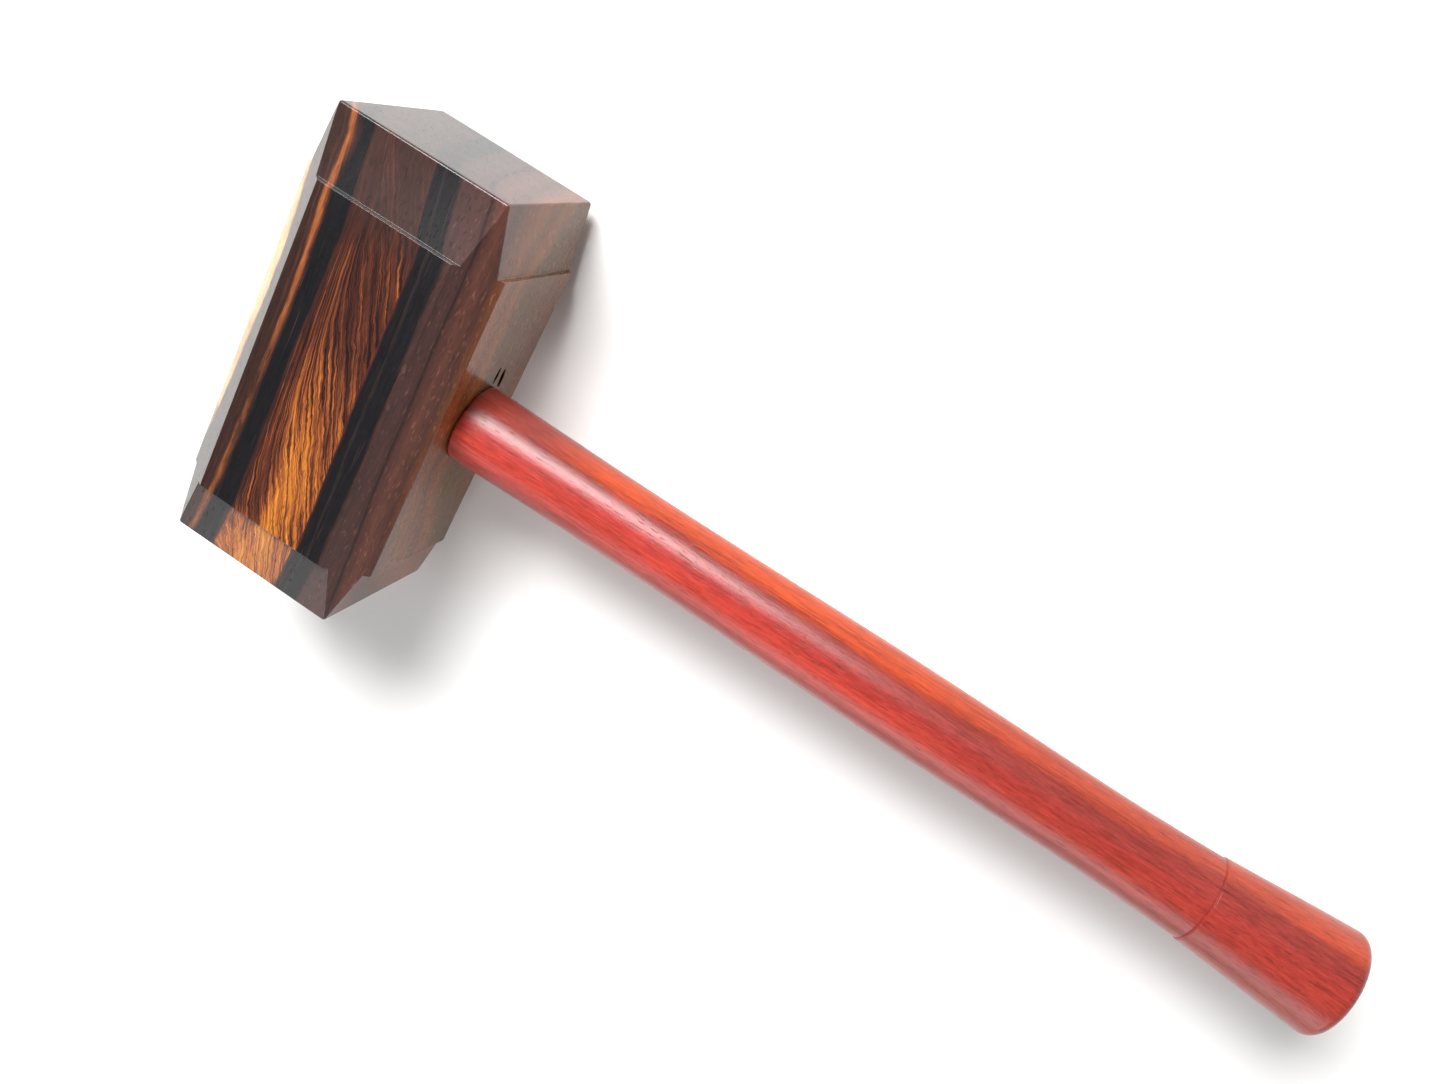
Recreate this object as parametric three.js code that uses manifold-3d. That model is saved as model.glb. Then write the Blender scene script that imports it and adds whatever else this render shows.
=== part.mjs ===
// Carpenter's wooden mallet: a solid chamfered hardwood head on a turned handle. The handle's
// shoulder bears on the head, its round tenon runs right through, and a wedge driven into the
// tenon's sawn end locks it there.
//
// Millimetres. The mallet lies on one cheek: +X runs along the handle from the head to the butt,
// +Y points to one striking face, and +Z is up, out of the cheek that faces away from the table.
// The origin is the centre of the bounding box's bottom.

import * as THREE from "three";
import { mergeVertices } from "three/addons/utils/BufferGeometryUtils.js";
import Module from "manifold-3d";

const wasm = await Module();
wasm.setup();

// Head, measured at its middle: height along X, length along Y, width along Z.
const HEAD_HEIGHT = 72;
const HEAD_LENGTH = 150;
const HEAD_WIDTH = 71;
const HEAD_CHAMFER = 12; // leg of the 45 degree chamfer on each long edge
const EDGE_RADIUS = 1.5; // rounding of the long edges

// End bands: each end steps down from the middle, then tapers to its striking face.
const BAND_LENGTHS = { plusY: 22, minusY: 20 };
const BAND_STEP = 1.9; // drop from the middle's faces
const FACE_HEIGHT = 60;
const FACE_WIDTH = 59;
const FACE_ARRIS = 0.9; // small bevel around each striking face

// Handle, turned in one piece. Each outline point is [distance along the stretch, radius].
const TENON_RADIUS = 12.4;
const SHOULDER_EDGE = 0.8; // bevel where the thicker shaft bears on the head
const SHAFT_OUTLINE = [
  [SHOULDER_EDGE, 13.45], // just past the shoulder
  [38, 12.9],
  [76, 12.75], // slender neck
  [118, 13.1],
  [164, 13.5], // slight swell under the hand
  [226, 13.15],
  [250, 13.45],
  [268, 14], // ring step
];
const BUTT_OUTLINE = [
  [0, 14.35],
  [12, 15.2],
  [26, 16.3],
  [42.5, 17.4],
];
const RIM_RADIUS = 3.5; // rounding at the butt's end
const HANDLE_SIDES = 72;

// Wedged tenon. The kerf is sawn into the tenon's end, and the wedge spreads its two halves
// along Y, the grain direction of the head, into a mortise that flares to match.
const KERF_DEPTH = 38;
const KERF_WIDTH = 2;
const WEDGE_LENGTH = 36;
const WEDGE_TIP = 1.4;
const WEDGE_TOP = 4.6;
const WEDGE_WIDTH = 24;
const TENON_SPREAD = (WEDGE_TOP - KERF_WIDTH) / 2; // how far each half moves at the head's top
const GAP = 0.3; // clearance between neighbouring pieces

// Two short natural checks in the handle-side face, beside the handle.
const CHECKS = [
  { y: 17.2, z: -2.4, length: 6.4, width: 1.8, depth: 3.2, turn: -0.08 },
  { y: 15.6, z: -6.9, length: 7.2, width: 2.5, depth: 4, turn: 0.12 },
];

const HEAD_TOP = -HEAD_HEIGHT / 2;
const HANDLE_SIDE = HEAD_HEIGHT / 2;
const SHAFT_LENGTH = SHAFT_OUTLINE.at(-1)[0];
const BUTT_LENGTH = BUTT_OUTLINE.at(-1)[0] + RIM_RADIUS;
const HANDLE_LENGTH = HEAD_HEIGHT + SHAFT_LENGTH + BUTT_LENGTH;

const ROSEWOOD = new THREE.MeshStandardMaterial({ color: 0x4a2c28, roughness: 0.38 });
const PADAUK = new THREE.MeshStandardMaterial({ color: 0xb5382e, roughness: 0.35 });
const WEDGE_WOOD = new THREE.MeshStandardMaterial({ color: 0x33211f, roughness: 0.5 });

// A closed three.js geometry as a manifold-3d solid.
function toSolid(geometry) {
  const bare = geometry.clone();
  bare.deleteAttribute("normal");
  bare.deleteAttribute("uv");
  const merged = mergeVertices(bare, 1e-4);
  return new wasm.Manifold(
    new wasm.Mesh({
      numProp: 3,
      vertProperties: new Float32Array(merged.attributes.position.array),
      triVerts: new Uint32Array(merged.index.array),
    }),
  );
}

// A manifold-3d solid as a named three.js mesh.
function toMesh(name, solid, material) {
  const { vertProperties, triVerts } = solid.getMesh();
  const geometry = new THREE.BufferGeometry();
  geometry.setAttribute("position", new THREE.BufferAttribute(vertProperties, 3));
  geometry.setIndex(new THREE.BufferAttribute(triVerts, 1));
  geometry.computeVertexNormals();
  const mesh = new THREE.Mesh(geometry, material);
  mesh.name = name;
  return mesh;
}

// Moves each vertex of a geometry to where change(point) puts it.
function reshape(geometry, change) {
  const position = geometry.attributes.position;
  const point = new THREE.Vector3();
  for (let i = 0; i < position.count; i++) {
    change(point.fromBufferAttribute(position, i));
    position.setXYZ(i, point.x, point.y, point.z);
  }
  return geometry;
}

// A box along +Y from y = start whose X by Z section changes evenly from one size to another.
function taperedBox(start, length, [startX, startZ], [endX, endZ]) {
  return reshape(new THREE.BoxGeometry(1, 1, 1), (p) => {
    const t = p.y + 0.5;
    p.set(
      p.x * THREE.MathUtils.lerp(startX, endX, t),
      start + t * length,
      p.z * THREE.MathUtils.lerp(startZ, endZ, t),
    );
  });
}

// The head's eight-sided outline across its length, with rounded corners.
function headOutline() {
  const halfHeight = HEAD_HEIGHT / 2;
  const halfWidth = HEAD_WIDTH / 2;
  const corners = [];
  for (const [sx, sz] of [[1, 1], [-1, 1], [-1, -1], [1, -1]]) {
    const side = new THREE.Vector2(sx * halfHeight, sz * (halfWidth - HEAD_CHAMFER));
    const cheek = new THREE.Vector2(sx * (halfHeight - HEAD_CHAMFER), sz * halfWidth);
    corners.push(...(sx * sz > 0 ? [side, cheek] : [cheek, side]));
  }
  const trim = EDGE_RADIUS * Math.tan(Math.PI / 8); // from a corner to where its arc begins
  const shape = new THREE.Shape();
  corners.forEach((corner, i) => {
    const before = corners.at(i - 1);
    const after = corners[(i + 1) % corners.length];
    const start = corner.clone().add(before.clone().sub(corner).setLength(trim));
    const end = corner.clone().add(after.clone().sub(corner).setLength(trim));
    if (i === 0) shape.moveTo(start.x, start.y);
    else shape.lineTo(start.x, start.y);
    shape.quadraticCurveTo(corner.x, corner.y, end.x, end.y);
  });
  shape.closePath();
  return shape;
}

// The eight-sided bar between two distances along Y.
function headBar(low, high) {
  const bar = new THREE.ExtrudeGeometry(headOutline(), {
    depth: high - low,
    bevelEnabled: false,
    curveSegments: 3,
  });
  bar.rotateX(Math.PI / 2); // its length now runs along -Y, and the outline's Y along +Z
  return toSolid(bar.translate(0, high, 0));
}

// One end band, cut to the same long chamfers as the middle of the head.
function endBand(side, length) {
  const middle = HEAD_LENGTH / 2 - length;
  const overlap = 1; // runs into the middle, so that the two join
  const stepSize = [HEAD_HEIGHT - 2 * BAND_STEP, HEAD_WIDTH - 2 * BAND_STEP];
  const faceSize = [FACE_HEIGHT, FACE_WIDTH];
  const arrisSize = [FACE_HEIGHT - 2 * FACE_ARRIS, FACE_WIDTH - 2 * FACE_ARRIS];
  const taper = length - FACE_ARRIS;
  const band = toSolid(taperedBox(middle - overlap, overlap, stepSize, stepSize))
    .add(toSolid(taperedBox(middle, taper, stepSize, faceSize)))
    .add(toSolid(taperedBox(middle + taper, FACE_ARRIS, faceSize, arrisSize)))
    .intersect(headBar(0, HEAD_LENGTH));
  return side > 0 ? band : band.rotate([0, 0, 180]);
}

// Pushes the two halves of a round bar apart along Y, most at the head's top, not at all below
// the kerf. Section vertices on the bar's middle plane stay where they are.
function spreadHalves(geometry) {
  return reshape(geometry, (p) => {
    const depth = p.x - HEAD_TOP;
    const share = Math.max(0, 1 - depth / KERF_DEPTH);
    if (Math.abs(p.y) > 1e-6) p.y += Math.sign(p.y) * TENON_SPREAD * share;
  });
}

// A lathe geometry about X from outline points [x, radius].
function turned(outline, sides) {
  const profile = outline.map(([x, radius]) => new THREE.Vector2(radius, x));
  return new THREE.LatheGeometry(profile, sides).rotateZ(-Math.PI / 2);
}

function mortise() {
  const radius = TENON_RADIUS + GAP;
  const beyond = 1; // the cutter runs past both faces
  const kerfEnd = HEAD_TOP + KERF_DEPTH;
  const outline = [
    [HEAD_TOP - beyond, 0],
    [HEAD_TOP - beyond, radius],
    [kerfEnd, radius],
    [HANDLE_SIDE + beyond, radius],
    [HANDLE_SIDE + beyond, 0],
  ];
  return toSolid(spreadHalves(turned(outline, HANDLE_SIDES)));
}

// A lens-shaped split along the grain, opening at the handle-side face.
function check({ y, z, length, width, depth, turn }) {
  const lens = new THREE.SphereGeometry(0.5, 16, 10);
  lens.scale(2 * depth, length, width);
  lens.rotateX(turn);
  return toSolid(lens.translate(HANDLE_SIDE, y, z));
}

function headBlock() {
  const half = HEAD_LENGTH / 2;
  let solid = headBar(-half + BAND_LENGTHS.minusY, half - BAND_LENGTHS.plusY)
    .add(endBand(1, BAND_LENGTHS.plusY))
    .add(endBand(-1, BAND_LENGTHS.minusY))
    .subtract(mortise());
  for (const split of CHECKS) solid = solid.subtract(check(split));
  return toMesh("head_block", solid, ROSEWOOD);
}

// Points along a smooth curve through outline points, moved along X.
function smoothStretch(outline, startX, steps) {
  const curve = new THREE.SplineCurve(outline.map(([x, r]) => new THREE.Vector2(x, r)));
  return curve.getPoints(steps).map((p) => [startX + p.x, p.y]);
}

// The quarter round from the butt's side to its flat end.
function buttRim(startX) {
  const radius = BUTT_OUTLINE.at(-1)[1];
  const steps = 6;
  return Array.from({ length: steps }, (_, i) => {
    const angle = ((i + 1) / steps) * (Math.PI / 2);
    return [
      startX + RIM_RADIUS * Math.sin(angle),
      radius - RIM_RADIUS * (1 - Math.cos(angle)),
    ];
  });
}

function kerf() {
  const top = KERF_WIDTH + 2 * TENON_SPREAD;
  const wide = 2 * TENON_RADIUS + 2;
  const slot = taperedBox(0, KERF_DEPTH, [top + 2 * GAP, wide], [KERF_WIDTH, wide]);
  const mouth = taperedBox(-1, 1, [top + 2 * GAP, wide], [top + 2 * GAP, wide]);
  return toSolid(alongHandle(slot)).add(toSolid(alongHandle(mouth)));
}

// Turns a geometry built up from y = 0 so that it runs from the head's top towards the butt.
function alongHandle(geometry) {
  return geometry.rotateZ(-Math.PI / 2).translate(HEAD_TOP, 0, 0);
}

function handle() {
  const shaftEnd = HANDLE_SIDE + SHAFT_LENGTH;
  const rimStart = shaftEnd + BUTT_LENGTH - RIM_RADIUS;
  const shoulder = HANDLE_SIDE + GAP;
  const outline = [
    [HEAD_TOP, 0],
    [HEAD_TOP, TENON_RADIUS],
    [HEAD_TOP + KERF_DEPTH, TENON_RADIUS],
    [shoulder, TENON_RADIUS],
    [shoulder, SHAFT_OUTLINE[0][1] - SHOULDER_EDGE + GAP],
    ...smoothStretch(SHAFT_OUTLINE, HANDLE_SIDE, 28),
    ...smoothStretch(BUTT_OUTLINE, shaftEnd, 8),
    ...buttRim(rimStart),
    [rimStart + RIM_RADIUS, 0],
  ];
  const bar = toSolid(spreadHalves(turned(outline, HANDLE_SIDES)));
  return toMesh("handle", bar.subtract(kerf()), PADAUK);
}

function tenonWedge() {
  const wedge = taperedBox(0, WEDGE_LENGTH, [WEDGE_TOP, WEDGE_WIDTH], [WEDGE_TIP, WEDGE_WIDTH]);
  return toMesh("tenon_wedge", toSolid(alongHandle(wedge)), WEDGE_WOOD);
}

// The pieces are built about the head's centre, then placed with the lower cheek on z = 0.
const group = new THREE.Group();
group.position.set(-HANDLE_LENGTH / 2 - HEAD_TOP, 0, HEAD_WIDTH / 2);
group.add(headBlock(), handle(), tenonWedge());

export default group;
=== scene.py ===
"""Carpenter's wooden mallet: a striped rosewood head on a turned padauk handle, with a wedged tenon.

Lengths are in millimetres about the head's centre until a mesh is made, and then in metres in the
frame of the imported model: +X runs along the handle to the butt, and +Z is up.
"""

import math

import bmesh
import bpy
from mathutils import Matrix, Vector


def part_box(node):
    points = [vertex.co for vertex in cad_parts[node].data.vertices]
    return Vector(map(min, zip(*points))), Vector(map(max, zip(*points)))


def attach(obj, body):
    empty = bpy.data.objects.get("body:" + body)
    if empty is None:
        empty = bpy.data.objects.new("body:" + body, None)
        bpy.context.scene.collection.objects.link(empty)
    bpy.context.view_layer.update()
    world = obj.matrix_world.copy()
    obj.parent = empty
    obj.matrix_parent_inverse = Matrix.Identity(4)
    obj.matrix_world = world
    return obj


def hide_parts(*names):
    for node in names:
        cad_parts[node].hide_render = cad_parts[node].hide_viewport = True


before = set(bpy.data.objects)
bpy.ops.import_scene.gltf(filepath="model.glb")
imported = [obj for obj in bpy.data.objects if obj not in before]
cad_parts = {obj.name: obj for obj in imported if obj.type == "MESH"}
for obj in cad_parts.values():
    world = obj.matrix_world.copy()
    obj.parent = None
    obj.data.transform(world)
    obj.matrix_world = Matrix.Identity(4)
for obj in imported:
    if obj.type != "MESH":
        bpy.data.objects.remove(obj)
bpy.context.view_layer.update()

MM = 0.001
HEAD_LOW, HEAD_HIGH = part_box("head_block")
HEAD_CENTRE = (HEAD_LOW + HEAD_HIGH) / 2
HALF_HEIGHT, HALF_LENGTH, HALF_WIDTH = (HEAD_HIGH - HEAD_LOW) / 2 / MM
WEDGE_LOW, WEDGE_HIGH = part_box("tenon_wedge")
WEDGE_LENGTH, WEDGE_TOP, WEDGE_WIDTH = (WEDGE_HIGH - WEDGE_LOW) / MM

# Head
CHAMFER = 12  # leg of the chamfer on each long edge
EDGE = 0.8  # rounding of the long edges
BAND_LENGTHS = {"plus": 22, "minus": 20}
BAND_STEP = 1.9  # how far each end band steps down from the middle
FACE_DROP = 6  # how far the sides have come in at the striking face
FACE_EDGE = 0.9  # rounding of the striking face's rim
STEP_EDGE = 0.3  # rounding of the step's lip and of its foot
STEP_LEAN = 0.12  # the step's wall is this far out of square
ARC_STEPS = 5
LONGEST_FACET = 5

# Joint of the handle and the head
TENON_RADIUS = 12.4
SHOULDER_EDGE = 0.9  # rounding of the shaft where it bears on the head
JOINT_GAP = 0.05
MORTISE_LIP = 0.25
KERF_DEPTH = 38
KERF_WIDTH = 2
KERF_TIP = 1.4  # the wedge's thin end
TENON_SPREAD = (WEDGE_TOP - KERF_WIDTH) / 2
SIDES = 160

# Two natural checks beside the handle: distance along Y, height, length, width, depth and turn.
CHECKS = [
    {"y": 17.2, "z": -2.4, "length": 6.4, "width": 1.8, "depth": 3.2, "turn": -0.08},
    {"y": 15.6, "z": -6.9, "length": 7.2, "width": 2.5, "depth": 4.0, "turn": 0.12},
]

# How much brighter than its albedo a surface that faces up looks under these lights.
LIGHT_LEVEL = 1.6

POLISH_IOR = 1.43


# ---------------------------------------------------------------- outlines

def catmull_rom(points, per_span):
    """Points along a smooth curve through 2-D points."""
    padded = [points[0], *points, points[-1]]
    curve = []
    for p0, p1, p2, p3 in zip(padded, padded[1:], padded[2:], padded[3:]):
        for step in range(per_span):
            t = step / per_span
            curve.append([
                0.5 * (2 * b + (c - a) * t + (2 * a - 5 * b + 4 * c - d) * t**2
                       + (3 * b - a - 3 * c + d) * t**3)
                for a, b, c, d in zip(p0, p1, p2, p3)
            ])
    return curve + [list(points[-1])]


def rounded(corners):
    """A 2-D polyline of (point, radius) corners, with each corner turned by an arc of its radius."""
    line = [Vector(corners[0][0])]
    for (before, _), (corner, radius), (after, _) in zip(corners, corners[1:], corners[2:]):
        corner = Vector(corner)
        back = (Vector(before) - corner).normalized()
        ahead = (Vector(after) - corner).normalized()
        half = back.angle(ahead) / 2
        trim = radius / math.tan(half)
        centre = corner + (back + ahead).normalized() * radius / math.sin(half)
        start = corner + back * trim - centre
        turn = (corner + ahead * trim - centre).angle_signed(start)
        for step in range(ARC_STEPS + 1):
            line.append(centre + Matrix.Rotation(turn * step / ARC_STEPS, 2) @ start)
    line.append(Vector(corners[-1][0]))
    return line


def subdivided(line, longest):
    """The same polyline with no stretch longer than this."""
    finer = [line[0]]
    for a, b in zip(line, line[1:]):
        count = max(1, math.ceil((b - a).length / longest))
        finer += [a.lerp(b, step / count) for step in range(1, count + 1)]
    return finer


# ---------------------------------------------------------------- meshes

def place(point):
    """A point in millimetres about the head's centre, in the row frame."""
    return HEAD_CENTRE + Vector(point) * MM


def lofted(name, rings, centre_ends=False):
    """A closed mesh through rings of points, capped by one face or by a fan at each end."""
    mesh = bmesh.new()
    made = [[mesh.verts.new(place(p)) for p in ring] for ring in rings]
    for low, high in zip(made, made[1:]):
        for i, (a, b) in enumerate(zip(low, high)):
            mesh.faces.new((a, low[i - 1], high[i - 1], b))
    for ring in (made[0], made[-1]):
        if centre_ends:
            middle = mesh.verts.new(sum((v.co for v in ring), Vector()) / len(ring))
            for i, vertex in enumerate(ring):
                mesh.faces.new((vertex, ring[i - 1], middle))
        else:
            mesh.faces.new(ring)
    bmesh.ops.recalc_face_normals(mesh, faces=mesh.faces)
    data = bpy.data.meshes.new(name)
    mesh.to_mesh(data)
    mesh.free()
    piece = bpy.data.objects.new(name, data)
    bpy.context.scene.collection.objects.link(piece)
    return piece


def settle(piece):
    """Applies the modifiers of a piece to its mesh."""
    evaluated = piece.evaluated_get(bpy.context.evaluated_depsgraph_get())
    data = bpy.data.meshes.new_from_object(evaluated)
    piece.modifiers.clear()
    piece.data = data
    return piece


def carve(piece, *cutters):
    """Cuts the cutters out of a piece, and removes them."""
    for cutter in cutters:
        cut = piece.modifiers.new("cut", "BOOLEAN")
        cut.operation = "DIFFERENCE"
        cut.solver = "EXACT"
        cut.object = cutter
        settle(piece)
        bpy.data.objects.remove(cutter)
    return piece


def smooth(piece, sharp_degrees=40):
    """Smooth shading that keeps flat faces flat and true edges sharp."""
    for polygon in piece.data.polygons:
        polygon.use_smooth = True
    piece.data.set_sharp_from_angle(angle=math.radians(sharp_degrees))
    normals = piece.modifiers.new("normals", "WEIGHTED_NORMAL")
    normals.mode = "FACE_AREA"
    normals.weight = 100
    normals.keep_sharp = True
    return settle(piece)


def spread(point):
    """Where a point of the round tenon or its mortise goes when the wedge drives its halves apart."""
    x, y, z = point
    share = max(0, 1 - (x + HALF_HEIGHT) / KERF_DEPTH)
    side = 0 if abs(y) < 1e-6 else math.copysign(1, y)
    return Vector((x, y + side * TENON_SPREAD * share, z))


def turned_rings(outline):
    """Rings of points about the handle's axis from [x, radius] points."""
    rings = []
    for x, radius in outline:
        angles = (2 * math.pi * i / SIDES for i in range(SIDES))
        rings.append([spread((x, radius * math.cos(a), radius * math.sin(a))) for a in angles])
    return rings


# ---------------------------------------------------------------- head

def head_section(drop, y):
    """The head's eight-sided outline with round corners, at y, where each side has come in by drop."""
    leg = max(CHAMFER - 2 * drop, (2 - math.sqrt(2)) * EDGE)
    half_height = HALF_HEIGHT - drop
    half_width = HALF_WIDTH - drop
    slant = (half_height + half_width - leg) / math.sqrt(2)
    distances = [half_height, slant, half_width, slant] * 2
    points = []
    for side in range(8):
        here = side * math.pi / 4
        ahead = here + math.pi / 4
        near = distances[side] - EDGE
        far = distances[(side + 1) % 8] - EDGE
        # Where the two sides, both moved in by the radius, meet: the centre of the corner's arc.
        along = (far - near * math.cos(math.pi / 4)) / math.sin(math.pi / 4)
        centre_x = near * math.cos(here) - along * math.sin(here)
        centre_z = near * math.sin(here) + along * math.cos(here)
        for step in range(ARC_STEPS + 1):
            angle = here + (ahead - here) * step / ARC_STEPS
            points.append((centre_x + EDGE * math.cos(angle), y, centre_z + EDGE * math.sin(angle)))
    return points


def head_profile():
    """[y, drop] points from one striking face to the other."""
    plus = HALF_LENGTH - BAND_LENGTHS["plus"]
    minus = -HALF_LENGTH + BAND_LENGTHS["minus"]
    inside = 2 * FACE_DROP
    return subdivided(rounded([
        ((-HALF_LENGTH, inside), 0),
        ((-HALF_LENGTH, FACE_DROP), FACE_EDGE),
        ((minus - STEP_LEAN, BAND_STEP), STEP_EDGE),
        ((minus, 0), STEP_EDGE),
        ((plus, 0), STEP_EDGE),
        ((plus + STEP_LEAN, BAND_STEP), STEP_EDGE),
        ((HALF_LENGTH, FACE_DROP), FACE_EDGE),
        ((HALF_LENGTH, inside), 0),
    ]), LONGEST_FACET)


def mortise_cutter():
    """The round hole through the head, flared where the wedge spreads the tenon, with eased rims."""
    radius = TENON_RADIUS + JOINT_GAP
    beyond = 1
    return lofted("mortise_cutter", turned_rings([
        (-HALF_HEIGHT - beyond, radius + MORTISE_LIP + beyond),
        (-HALF_HEIGHT + MORTISE_LIP, radius),
        (-HALF_HEIGHT + KERF_DEPTH, radius),
        (HALF_HEIGHT - MORTISE_LIP, radius),
        (HALF_HEIGHT + beyond, radius + MORTISE_LIP + beyond),
    ]))


def check_cutter(check):
    """A lens-shaped split along the grain, opening at the handle-side face."""
    rings = []
    steps = 14
    for i in range(1, steps):
        lengthwise = math.cos(math.pi * i / steps)
        girth = math.sin(math.pi * i / steps)
        ring = []
        for j in range(steps):
            angle = 2 * math.pi * j / steps
            z = check["width"] / 2 * girth * math.sin(angle)
            y = check["length"] / 2 * lengthwise
            ring.append((
                HALF_HEIGHT + check["depth"] * girth * math.cos(angle),
                check["y"] + y * math.cos(check["turn"]) - z * math.sin(check["turn"]),
                check["z"] + y * math.sin(check["turn"]) + z * math.cos(check["turn"]),
            ))
        rings.append(ring)
    return lofted("check_cutter", rings)


def head_block():
    rings = [head_section(drop, y) for y, drop in head_profile()]
    piece = lofted("rosewood_head", rings)
    return smooth(carve(piece, mortise_cutter(), *[check_cutter(c) for c in CHECKS]))


# ---------------------------------------------------------------- handle

RING_EDGE = 0.16  # rounding of the ring's little step
RIM_STEPS = 14
GROOVE = 0.24  # depth of the fine groove before the ring


def cad_outline():
    """[x, radius] of each ring of the CAD handle past the kerf, from the head to the butt."""
    centre_y = HEAD_CENTRE.y
    radii = {}
    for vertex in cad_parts["handle"].data.vertices:
        x = round((vertex.co.x - HEAD_CENTRE.x) / MM, 2)
        radius = math.hypot(vertex.co.y - centre_y, vertex.co.z - HEAD_CENTRE.z) / MM
        radii.setdefault(x, set()).add(round(radius, 2))
    return [[x, r] for x in sorted(radii) if x > HALF_HEIGHT + 1 for r in sorted(radii[x])]


def handle_outline():
    """[x, radius] points of the whole turned handle: tenon, shoulder, shaft, ring, butt and rim."""
    outline = [point for point in cad_outline() if point[1] > 1]
    step = next(i for i in range(1, len(outline)) if outline[i][0] - outline[i - 1][0] < 0.1)
    widest = max(range(len(outline)), key=lambda i: outline[i][1])
    end = max(x for x, _ in cad_outline())
    shaft = catmull_rom(outline[:step], 3)
    butt = catmull_rom(outline[step:widest + 1], 4)
    full = shaft[0][1]
    shoulder = rounded([
        ((HALF_HEIGHT + JOINT_GAP, TENON_RADIUS), 0),
        ((HALF_HEIGHT + JOINT_GAP, full), SHOULDER_EDGE),
        (shaft[0], 0),
    ])
    ring_x, low = shaft[-1]
    high = butt[0][1]
    ring = rounded([
        (shaft[-2], 0),
        ((ring_x - 4 * RING_EDGE, low), RING_EDGE / 2),
        ((ring_x - RING_EDGE, low - GROOVE), RING_EDGE / 2),
        ((ring_x + RING_EDGE, high), RING_EDGE),
        (butt[1], 0),
    ])[1:-1]
    rim_start, rim_radius = butt[-1]
    curl = end - rim_start
    rim = []
    for i in range(1, RIM_STEPS + 1):
        angle = math.pi / 2 * i / RIM_STEPS
        rim.append([rim_start + curl * math.sin(angle), rim_radius - curl * (1 - math.cos(angle))])
    tenon = [
        [-HALF_HEIGHT, TENON_RADIUS - MORTISE_LIP],
        [-HALF_HEIGHT + MORTISE_LIP, TENON_RADIUS],
        [-HALF_HEIGHT + KERF_DEPTH, TENON_RADIUS],
    ]
    flat_end = [[end, (rim_radius - curl) * share] for share in (0.66, 0.33)]
    stretches = (tenon, shoulder, shaft[1:-1], ring, butt[1:], rim, flat_end)
    return [list(point) for stretch in stretches for point in stretch]


def kerf_cutter():
    """The sawn slot in the tenon, opened by the wedge."""
    wide = TENON_RADIUS + 2
    beyond = 1

    def slab(x, thickness):
        half = thickness / 2
        return [(x, half, wide), (x, -half, wide), (x, -half, -wide), (x, half, -wide)]

    return lofted("kerf_cutter", [
        slab(-HALF_HEIGHT - beyond, WEDGE_TOP + 2 * JOINT_GAP),
        slab(-HALF_HEIGHT, WEDGE_TOP + 2 * JOINT_GAP),
        slab(-HALF_HEIGHT + KERF_DEPTH, KERF_WIDTH),
    ])


def handle():
    piece = lofted("padauk_handle", turned_rings(handle_outline()), centre_ends=True)
    return smooth(carve(piece, kerf_cutter()), sharp_degrees=50)


# ---------------------------------------------------------------- wedge

def tenon_wedge():
    """The wedge, planed flush with the head's top, with its corners eased."""
    rings = []
    ease = 0.25
    for x, thickness in ((-HALF_HEIGHT, WEDGE_TOP - ease), (-HALF_HEIGHT + ease, WEDGE_TOP),
                         (-HALF_HEIGHT + WEDGE_LENGTH, KERF_TIP)):
        y, z = thickness / 2, WEDGE_WIDTH / 2
        rings.append([
            (x, y, z - ease), (x, y - ease, z), (x, ease - y, z), (x, -y, z - ease),
            (x, -y, ease - z), (x, ease - y, -z), (x, y - ease, -z), (x, y, ease - z),
        ])
    return smooth(lofted("hardwood_wedge", rings), sharp_degrees=30)


# ---------------------------------------------------------------- node building

def srgb(red, green, blue):
    """Linear RGBA of a screen colour given as 0 to 255."""
    def linear(c):
        c /= 255
        return c / 12.92 if c <= 0.04045 else ((c + 0.055) / 1.055) ** 2.4
    return (linear(red), linear(green), linear(blue), 1)


def paint(red, green, blue):
    """Albedo of a surface that looks like this screen colour under the studio lights."""
    lit = srgb(red, green, blue)
    return tuple(c / LIGHT_LEVEL for c in lit[:3]) + (1,)


class Signal:
    """A node's output that can be added, multiplied and so on, each time as one Math node."""

    def __init__(self, wood, socket):
        self.wood = wood
        self.socket = socket

    def __add__(self, other):
        return self.wood.math("ADD", self, other)

    def __radd__(self, other):
        return self.wood.math("ADD", other, self)

    def __sub__(self, other):
        return self.wood.math("SUBTRACT", self, other)

    def __rsub__(self, other):
        return self.wood.math("SUBTRACT", other, self)

    def __mul__(self, other):
        return self.wood.math("MULTIPLY", self, other)

    def __rmul__(self, other):
        return self.wood.math("MULTIPLY", other, self)

    def __truediv__(self, other):
        return self.wood.math("DIVIDE", self, other)


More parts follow.
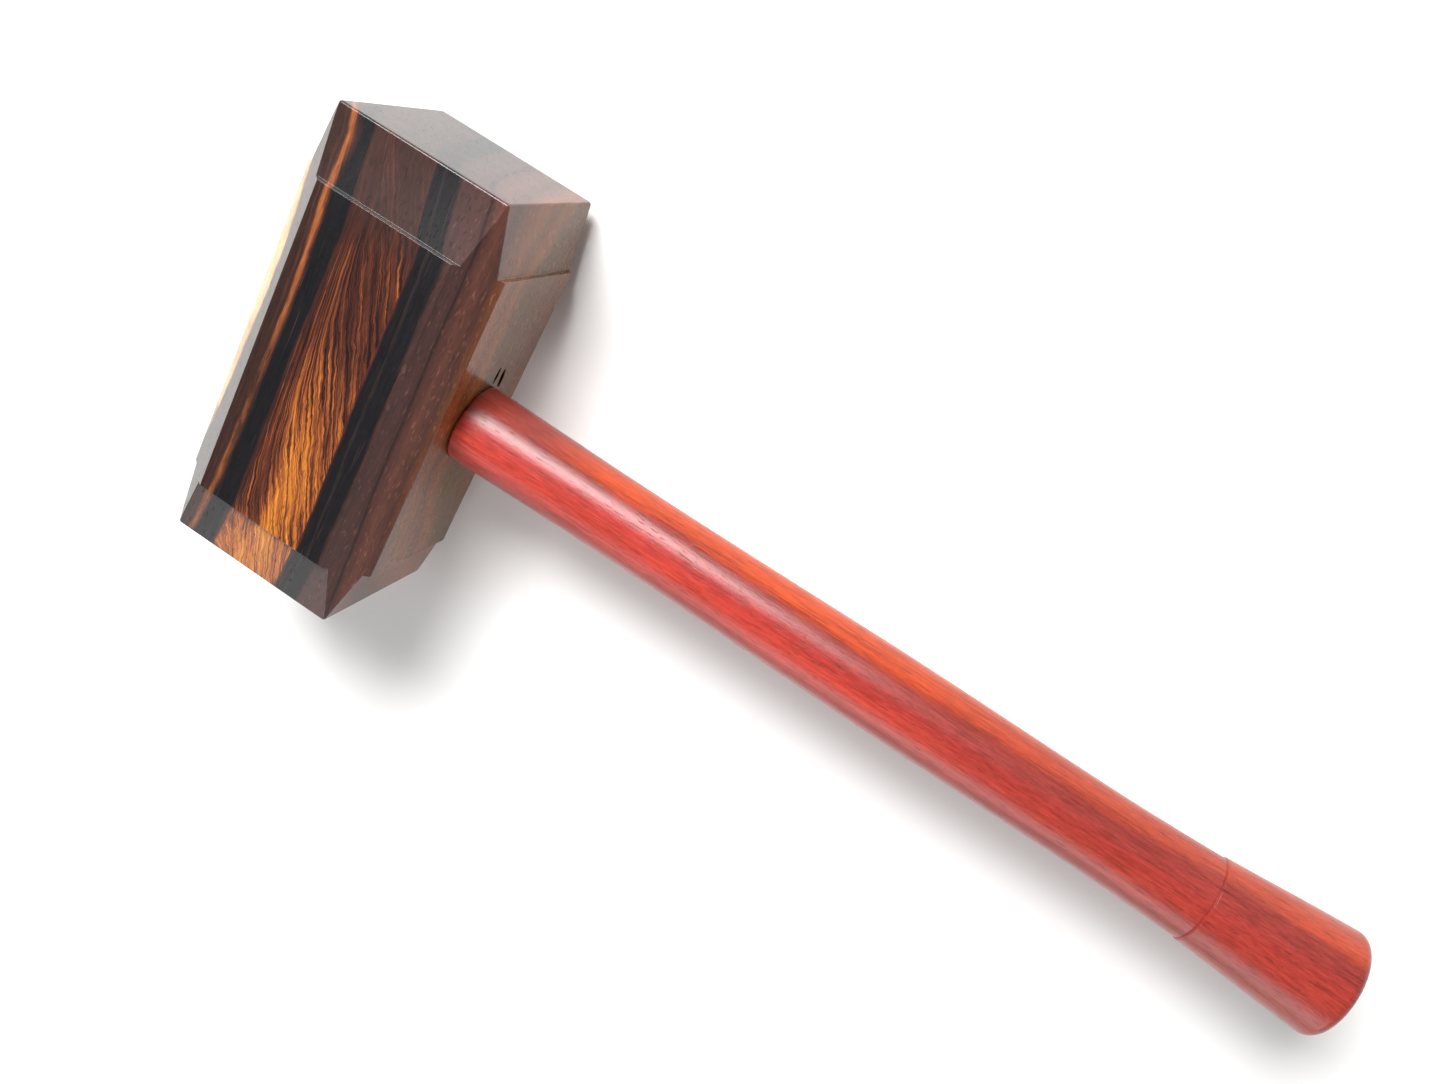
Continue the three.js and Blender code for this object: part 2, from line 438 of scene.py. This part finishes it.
class Wood:
    """One procedural material whose nodes work in millimetres about the head's centre."""

    def __init__(self, name):
        self.material = bpy.data.materials.new(name)
        self.material.use_nodes = True
        self.nodes = self.material.node_tree.nodes
        self.links = self.material.node_tree.links
        self.shader = self.nodes["Principled BSDF"]

    def feed(self, socket, value):
        if isinstance(value, Signal):
            self.links.new(value.socket, socket)
        else:
            socket.default_value = value

    def node(self, kind, output=0, inputs=None, **settings):
        made = self.nodes.new("ShaderNode" + kind)
        for key, value in settings.items():
            setattr(made, key, value)
        for key, value in (inputs or {}).items():
            self.feed(made.inputs[key], value)
        return Signal(self, made.outputs[output])

    def math(self, operation, *values):
        return self.node("Math", inputs=dict(enumerate(values)), operation=operation)

    def position(self):
        """X, Y and Z in millimetres about the head's centre."""
        where = self.node("TexCoord", "Object")
        centred = self.node("VectorMath", inputs={0: where, 1: HEAD_CENTRE}, operation="SUBTRACT")
        per_metre = (1 / MM,) * 3
        scaled = self.node("VectorMath", inputs={0: centred, 1: per_metre}, operation="MULTIPLY")
        return [self.node("SeparateXYZ", axis, {0: scaled}) for axis in range(3)]

    def facing(self, axis):
        """How squarely the surface faces along an axis: 0 for a side, 1 for an end."""
        normal = self.node("TexCoord", "Normal")
        return self.math("ABSOLUTE", self.node("SeparateXYZ", axis, {0: normal}))

    def noise(self, x, y, z, detail=2, roughness=0.5):
        """Noise from -0.5 to 0.5 with features about one unit across."""
        vector = self.node("CombineXYZ", inputs={0: x, 1: y, 2: z})
        inputs = {"Vector": vector, "Scale": 1.0, "Detail": detail, "Roughness": roughness}
        return self.node("TexNoise", inputs=inputs) - 0.5

    def step(self, value, low, high):
        """0 below low, 1 above high, and smooth between them."""
        inputs = {"Value": value, "From Min": low, "From Max": high}
        return self.node("MapRange", inputs=inputs, interpolation_type="SMOOTHSTEP")

    def ramp(self, value, stops):
        """A colour that follows value through [value, colour] stops."""
        low, high = stops[0][0], stops[-1][0]
        share = self.node("MapRange", inputs={"Value": value, "From Min": low, "From Max": high})
        made = self.nodes.new("ShaderNodeValToRGB")
        self.feed(made.inputs[0], share)
        elements = made.color_ramp.elements
        while len(elements) < len(stops):
            elements.new(1)
        for element, (at, colour) in zip(elements, stops):
            element.position = (at - low) / (high - low)
            element.color = paint(*colour)
        return Signal(self, made.outputs[0])

    def mix(self, share, first, second, blend="MIX"):
        made = self.nodes.new("ShaderNodeMix")
        made.data_type = "RGBA"
        made.blend_type = blend
        self.feed(made.inputs[0], share)
        self.feed(made.inputs[6], first)
        self.feed(made.inputs[7], second)
        return Signal(self, made.outputs[2])

    def lighten(self, colour, factor):
        """A colour with each channel multiplied by this factor."""
        grey = self.node("CombineColor", inputs={0: factor, 1: factor, 2: factor})
        return self.mix(1.0, colour, grey, "MULTIPLY")

    def finish(self, colour, roughness, height, depth):
        """Sets the surface: colour, roughness, and a height in millimetres as bump."""
        self.feed(self.shader.inputs["Base Color"], colour)
        self.feed(self.shader.inputs["Roughness"], roughness)
        bump = self.node("Bump", inputs={"Height": height, "Distance": depth * MM})
        self.feed(self.shader.inputs["Normal"], bump)
        self.shader.inputs["IOR"].default_value = POLISH_IOR
        return self.material


# ---------------------------------------------------------------- rosewood

SAPWOOD_INNER_X = -29.5  # the sapwood's edge where it comes furthest in
SAPWOOD_INNER_Y = 22


def sapwood_edge(wood, y):
    """X of the pale sapwood's edge on the upper chamfer of the head's top, along the head."""
    ahead = wood.math("MAXIMUM", y - SAPWOOD_INNER_Y, 0)
    behind = wood.math("MINIMUM", y - SAPWOOD_INNER_Y, 0)
    return SAPWOOD_INNER_X - ahead * ahead * 0.0037 - behind * behind * 0.00136


def figure(wood, layer, y, z, stripe, slow):
    """Orange figure between the two black stripes, and how much of it shows."""
    # Its lines fan out from the upper stripe towards one end of the head.
    fan = wood.step(layer, -14, -2) * 0.31 + 0.05
    slant = layer + (y + 50) * fan
    wave = wood.noise(layer / 5, y / 11, z / 9, detail=3, roughness=0.6) * 3.4
    across = slant + wave
    lines = wood.noise(across * 1.1, y / 50, z / 22, detail=5, roughness=0.7)
    thin = 1 - wood.step(wood.math("ABSOLUTE", wood.noise(across * 0.5 + 9, y / 60, z / 22)), 0.01, 0.05)
    # The brightest wood follows a slanting band, and dims away from it and towards the plus end.
    along = wood.math("MAXIMUM", y, -50)
    beside = layer + along * 0.12 + 3 + slow * 6
    band = wood.step(beside, -7, -1) * (1 - wood.step(beside, 2, 12) * 0.5)
    band = wood.math("MAXIMUM", band, wood.step(y * -1, 50, 60) * 0.66)
    toward_minus = wood.step(y * -1 + slow * 20, -30, 42)
    dull = wood.step(y, 38, 58)
    tone = lines * 3.4 - 0.3 + toward_minus * (band * 0.68 + 0.2) + band * 0.08 - thin * 0.5 - dull * 0.3
    colour = wood.ramp(tone, [
        (-0.75, (46, 28, 28)),
        (-0.35, (76, 42, 34)),
        (-0.05, (112, 60, 42)),
        (0.25, (168, 92, 48)),
        (0.55, (214, 126, 50)),
        (0.95, (238, 158, 66)),
    ])
    colour = wood.mix(dull * 0.5, colour, paint(84, 57, 51))
    shows = wood.step(stripe, -10.9, -9.6) * (1 - wood.step(stripe, 13.0, 13.7))
    return colour, shows


def painted_check_shade(wood, x, y, z):
    """1 down inside the natural checks, where the wood is darkened as painted shade."""
    far_y, low_z, high_z, deepest = 21, -9, 0, 5
    sunk = 1 - wood.step(x, HALF_HEIGHT - 0.5, HALF_HEIGHT - 0.05)
    beside = wood.step(y, TENON_RADIUS - 1, TENON_RADIUS) * (1 - wood.step(y, far_y, far_y + 1))
    level = wood.step(z, low_z - 1, low_z) * (1 - wood.step(z, high_z, high_z + 1))
    return sunk * beside * level * wood.step(x, HALF_HEIGHT - deepest - 1, HALF_HEIGHT - deepest)


def rosewood():
    wood = Wood("rosewood")
    x, y, z = wood.position()
    depth = z - HALF_WIDTH
    # The growth layers stand nearly upright in the block and lean over under the upper cheek.
    near = wood.math("EXPONENT", depth / 10)
    lean = near * 14 - 14 + depth * 0.16
    layer = x - lean

    slow = wood.noise(layer / 16, y / 60, z / 30, detail=1)
    middle = wood.noise(layer / 3, y / 20, z / 12, detail=3, roughness=0.6)
    fine = wood.noise(layer * 1.9, y / 14, z / 4, detail=3, roughness=0.7)
    right = wood.step(layer, -10, 14)
    left = 1 - wood.step(layer, -16, -12)
    drift = y * right * 0.02 + y * y * left * 0.0006
    # Below the upper cheek the layers lean over less towards the ends, and least beside the sapwood.
    plus_end = wood.step(y, 20, 50) * (1 - wood.step(layer, -15, -5)) * 0.78
    minus_end = wood.step(y * -1, 20, 50) * (0.6 - wood.step(layer, -17, -12) * 0.3)
    shift = wood.math("MINIMUM", lean * -1, 6) * (plus_end + minus_end)
    # The layers wander more under the upper cheek than deeper in the block.
    wander = (slow * 1.6 + middle * 1.8 + fine * 1.7) * (near * 0.8 + 0.2)
    stripe = layer + drift - shift + wander

    base = wood.ramp(stripe, [
        (-30, (80, 56, 47)),
        (-21.4, (60, 41, 37)),
        (-20.9, (94, 58, 46)),
        (-20.3, (64, 43, 38)),
        (-19.6, (84, 52, 42)),
        (-18.8, (196, 116, 66)),
        (-17.8, (170, 94, 54)),
        (-17.2, (70, 46, 40)),
        (-16.4, (30, 30, 33)),
        (-11.6, (31, 30, 33)),
        (-10.9, (78, 44, 38)),
        (-10.3, (52, 36, 34)),
        (-8.0, (108, 56, 42)),
        (13.4, (90, 48, 40)),
        (14.1, (34, 31, 34)),
        (16.6, (30, 30, 33)),
        (17.2, (56, 46, 43)),
        (17.9, (32, 31, 34)),
        (21.8, (34, 32, 35)),
        (22.9, (78, 54, 51)),
        (30.0, (88, 58, 54)),
        (32.6, (82, 52, 48)),
        (33.4, (46, 32, 32)),
        (34.6, (92, 56, 50)),
        (39.0, (116, 70, 58)),
        # From here on the stops colour the handle-side face: its warm tan is partly the wood's own
        # colour and partly a painted warm reflection.
        (44.0, (92, 56, 48)),
        (50.4, (148, 84, 42)),
        (52.2, (122, 70, 36)),
        (53.4, (150, 86, 40)),
        (55.0, (106, 74, 38)),
        (62.0, (132, 78, 40)),
    ])
    # The thin orange stripe fades out towards one end.
    broken = wood.step(wood.noise(layer * 1.6, y / 9, z / 5, detail=3, roughness=0.7), -0.12, 0.1)
    dim = (1 - wood.step(y, -10, 28)) * (1 - wood.step(y * -1, 24, 48) * 0.5)
    fade = dim * 0.6 + broken * 0.35
    base = wood.mix(fade * (1 - wood.step(stripe, -17.4, -16.6)), base, paint(64, 43, 38))
    # Faint lighter threads in the black stripes.
    thread = wood.step(wood.noise(layer * 1.4, y / 34, z / 7, detail=2), 0.13, 0.24)
    base = wood.mix(thread * 0.5, base, paint(92, 66, 56))

    glow, shows = figure(wood, layer, y, z, stripe, slow)
    colour = wood.mix(shows, base, glow)

    # Pale sapwood along the upper chamfer of the head's top.
    edge = sapwood_edge(wood, y) + middle * 2.4 + fine * 1.2
    below = z - 4 - y * 0.1 - slow * 30 - middle * 14 - fine * 5
    sap = wood.step(edge - x, -0.7, 0.9) * wood.step(below, -3.5, 3.5)
    pale = wood.ramp(edge - x + middle * 6, [
        (-0.5, (212, 140, 88)),
        (1.5, (240, 186, 124)),
        (5.0, (250, 214, 156)),
    ])
    colour = wood.mix(sap, colour, pale)

    # Fibres, pores, pale flecks and the darker end grain.
    fibre = wood.noise(layer * 1.5, y / 7, z * 0.7, detail=5, roughness=0.8)
    pore = wood.step(wood.noise(x * 1.5, y / 3.5, z * 1.5, detail=1), 0.14, 0.22)
    fleck = wood.step(wood.noise(x * 1.2 + 40, y / 3.2, z * 1.2, detail=1), 0.12, 0.24)
    brown = wood.step(stripe, 22, 24)
    end = wood.step(wood.facing(1), 0.7, 0.95)
    light = (1 + fibre * 1.5 + middle * 0.4) * (1 - pore * 0.45) * (1 + fleck * brown * 0.8)
    # Painted shade: the wood is darkened down inside the checks.
    light = light * (1 - painted_check_shade(wood, x, y, z) * 0.93)
    colour = wood.lighten(colour, light * (1 - end * 0.15))

    roughness = 0.2 + fibre * 0.12 + pore * 0.12
    height = fibre * 0.8 - pore * 0.7 + wood.noise(x / 9, y / 24, z / 9) * 3
    return wood.finish(colour, roughness, height, 0.02)


# ---------------------------------------------------------------- padauk

def padauk():
    wood = Wood("padauk")
    x, y, z = wood.position()
    # Growth layers run along the handle and stack from one side of it to the other.
    slow = wood.noise(x / 80, y / 9, z / 12, detail=1)
    middle = wood.noise(x / 30, y / 2.2, z / 4, detail=3, roughness=0.6)
    fine = wood.noise(x / 22, y * 1.7, z * 1.3, detail=3, roughness=0.7)
    flare = wood.step(x, 250, 345) * 3.4
    layer = y + z * 0.12 - flare + slow * 2.6 + middle * 1.7 + fine * 1.1
    base = wood.ramp(layer, [
        (-18, (198, 86, 54)),
        (-12, (204, 78, 56)),
        (-7, (182, 60, 52)),
        (-3, (206, 70, 58)),
        (1.5, (216, 74, 60)),
        (5.0, (200, 64, 56)),
        (7.8, (178, 60, 55)),
        (9.4, (160, 56, 50)),
        (10.6, (160, 56, 44)),
        (11.3, (192, 66, 28)),
        (12.1, (214, 76, 24)),
        (13.4, (216, 80, 26)),
        (18, (196, 66, 26)),
    ])
    crimson = wood.ramp(layer, [
        (-18, (168, 56, 48)),
        (6, (196, 66, 58)),
        (9.5, (146, 50, 44)),
        (18, (178, 66, 46)),
    ])
    near_head = 1 - wood.step(x + slow * 40, 58, 92)
    toward_butt = wood.step(x + slow * 60, 160, 250)
    colour = wood.mix(near_head * wood.step(layer, 5, 9), base, crimson)
    colour = wood.mix(toward_butt * 0.5, colour, paint(160, 60, 50))

    fibre = wood.noise(x / 8, y * 1.3, z * 1.3, detail=5, roughness=0.8)
    dark = wood.step(wood.noise(x / 55, y * 1.1, z * 1.1, detail=4, roughness=0.75), 0.05, 0.2)
    band = wood.step(layer, 7, 10) * (1 - wood.step(layer, 12.4, 13.6))
    pore = wood.step(wood.noise(x / 4.5, y * 2.0, z * 2.0, detail=1), 0.14, 0.22)
    end = wood.step(wood.facing(0), 0.8, 0.97)
    light = (1 + fibre * 2.1 + middle * 0.6) * (1 - dark * (0.28 + band * 0.3)) * (1 - pore * 0.35)
    colour = wood.lighten(colour, light * (1 - end * 0.25))

    roughness = 0.3 + fibre * 0.14 + pore * 0.1
    height = fibre * 1.6 - pore * 0.8 + wood.noise(x / 30, y / 5, z / 5) * 1.5
    return wood.finish(colour, roughness, height, 0.035)


# ---------------------------------------------------------------- wedge wood

def wedge_wood():
    wood = Wood("wedge_wood")
    x, y, z = wood.position()
    layer = z * 0.8 + y * 0.5 + wood.noise(x / 20, y / 3, z / 5) * 3
    base = wood.ramp(wood.noise(layer, x / 40, y / 6, detail=2), [
        (-0.2, (52, 36, 34)),
        (0.0, (80, 54, 46)),
        (0.2, (104, 72, 56)),
    ])
    fibre = wood.noise(x / 10, y * 2.6, z * 2.6, detail=3, roughness=0.65)
    pore = wood.step(wood.noise(x / 3, y * 3, z * 3, detail=1), 0.12, 0.2)
    light = (1 + fibre * 0.6) * (1 - pore * 0.4)
    colour = wood.lighten(base, light)
    return wood.finish(colour, 0.4 + fibre * 0.2, fibre * 0.6 - pore, 0.03)


# ---------------------------------------------------------------- studio

CAMERA_PLACE = Vector((0.01771, 0.16184, 0.40318))
CAMERA_AIM = Vector((-0.0308, 0.0124, 0.0355))
CAMERA_UP = Vector((-0.54017, 0.80209, -0.25469))  # roughly up in the picture


def camera():
    """The camera that looks down on the mallet, from the side of the plus-Y striking face."""
    data = bpy.data.cameras.new("camera")
    data.lens = 32
    data.sensor_width = 36
    seen = bpy.data.objects.new("camera", data)
    bpy.context.scene.collection.objects.link(seen)
    back = (CAMERA_PLACE - CAMERA_AIM).normalized()
    right = CAMERA_UP.cross(back).normalized()
    up = back.cross(right)
    turned = Matrix((right, up, back)).transposed().to_4x4()
    seen.matrix_world = Matrix.Translation(CAMERA_PLACE) @ turned
    bpy.context.scene.camera = seen


LIGHTS_AIM = Vector((0, 0, 0.03))


def softbox(name, toward, distance, width, height, power):
    """An area light at a distance in some direction from the mallet, facing it."""
    data = bpy.data.lights.new(name, "AREA")
    data.shape = "RECTANGLE"
    data.size = width
    data.size_y = height
    data.energy = power
    lamp = bpy.data.objects.new(name, data)
    bpy.context.scene.collection.objects.link(lamp)
    direction = Vector(toward).normalized()
    lamp.location = LIGHTS_AIM + direction * distance
    lamp.rotation_euler = direction.to_track_quat("Z", "Y").to_euler()


def surroundings():
    """Pale walls that are brighter near the horizon than overhead."""
    world = bpy.data.worlds.new("studio")
    bpy.context.scene.world = world
    world.use_nodes = True
    nodes, links = world.node_tree.nodes, world.node_tree.links
    where = nodes.new("ShaderNodeTexCoord")
    split = nodes.new("ShaderNodeSeparateXYZ")
    ramp = nodes.new("ShaderNodeValToRGB")
    links.new(where.outputs["Generated"], split.inputs[0])
    links.new(split.outputs["Z"], ramp.inputs[0])
    links.new(ramp.outputs[0], nodes["Background"].inputs["Color"])
    stops = ramp.color_ramp.elements
    stops[0].position = 0.05
    stops[0].color = (0.75, 0.74, 0.73, 1)
    stops[1].position = 0.75
    stops[1].color = (0.13, 0.13, 0.135, 1)


def floor():
    data = bpy.data.meshes.new("floor")
    half = 40
    corners = [(-half, -half, 0), (half, -half, 0), (half, half, 0), (-half, half, 0)]
    data.from_pydata(corners, [], [(0, 1, 2, 3)])
    plane = bpy.data.objects.new("floor", data)
    bpy.context.scene.collection.objects.link(plane)
    material = bpy.data.materials.new("floor")
    material.use_nodes = True
    shader = material.node_tree.nodes["Principled BSDF"]
    shader.inputs["Base Color"].default_value = (0.86, 0.86, 0.85, 1)
    shader.inputs["Roughness"].default_value = 0.9
    shader.inputs["Specular IOR Level"].default_value = 0.2
    data.materials.append(material)


# ---------------------------------------------------------------- the scene

def fit(piece, node, material):
    """Puts a finished piece in its CAD node's place."""
    piece.data.materials.clear()
    piece.data.materials.append(material)
    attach(piece, "root")
    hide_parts(node)


camera()
surroundings()
softbox("key", (-0.35, 0.63, 0.69), 1.5, 0.8, 0.6, 41)
softbox("overhead", (-0.43, -0.02, 0.9), 1.6, 0.5, 0.4, 1.2)
softbox("low_side", (0.24, -0.84, 0.46), 1.5, 1.5, 0.8, 12.5)
softbox("end_side", (-0.43, -0.74, 0.5), 1.5, 0.5, 0.5, 1.2)
floor()
fit(head_block(), "head_block", rosewood())
fit(handle(), "handle", padauk())
fit(tenon_wedge(), "tenon_wedge", wedge_wood())
bpy.context.scene.view_settings.view_transform = "Standard"
